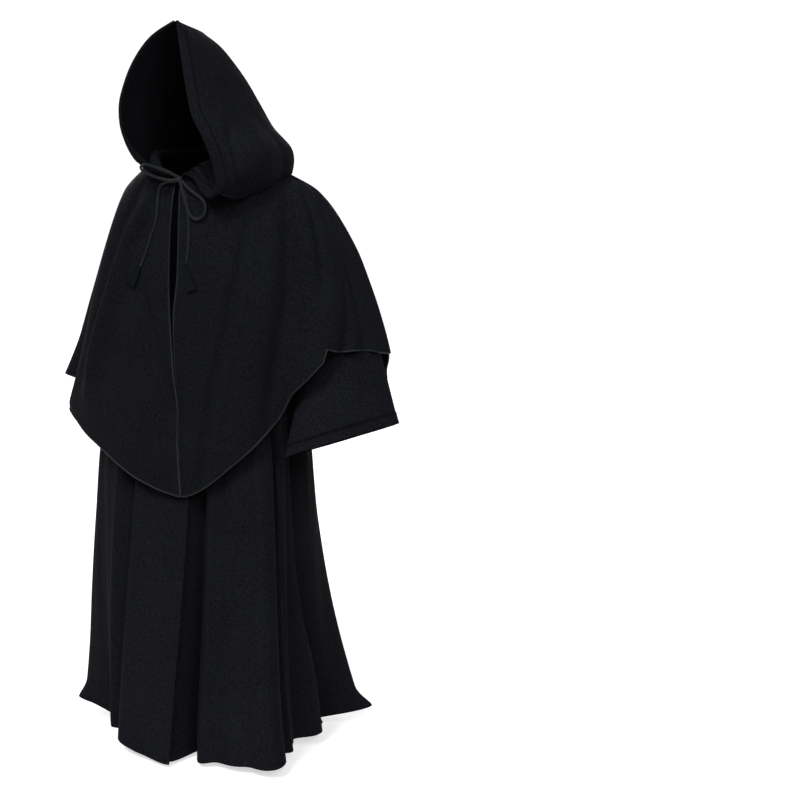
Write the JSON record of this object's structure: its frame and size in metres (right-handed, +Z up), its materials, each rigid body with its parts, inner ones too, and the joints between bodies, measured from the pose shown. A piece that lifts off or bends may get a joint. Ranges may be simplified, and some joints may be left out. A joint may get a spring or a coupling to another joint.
{
  "type": "hooded cloak",
  "caption": "Full-length hooded wool cloak with bell sleeves, a pointed shoulder cape and a neck cord tied in a bow, draped as worn.",
  "frame": {"origin": "on the axis of the wearer's body, level with the pit of the neck", "axes": "+Z up along the body, -Y the way the wearer faces, +X at the wearer's left hand"},
  "size_m": [0.8864, 0.5515, 1.6689],
  "materials": {
    "wool": "matt napped wool",
    "satin": "satin binding and cord"
  },
  "bodies": {
    "root": {"robe_back": "wool", "robe_front_right": "wool", "robe_front_left": "wool", "sleeve_left": "wool", "cuff_band_left": "wool", "sleeve_right": "wool", "cuff_band_right": "wool", "cape_front_left": "wool", "cape_front_right": "wool", "cape_back": "wool", "hood_left": "wool", "hood_band_left": "wool", "hood_right": "wool", "hood_band_right": "wool", "cape_binding_left": "satin", "cape_binding_right": "satin", "cape_binding_back": "satin", "bow_knot": "satin", "bow_loop_right": "satin", "bow_loop_left": "satin", "cord_end_right": "satin", "cord_end_left": "satin", "cord_tab_right": "satin", "cord_tab_left": "satin"}
  },
  "joints": []
}
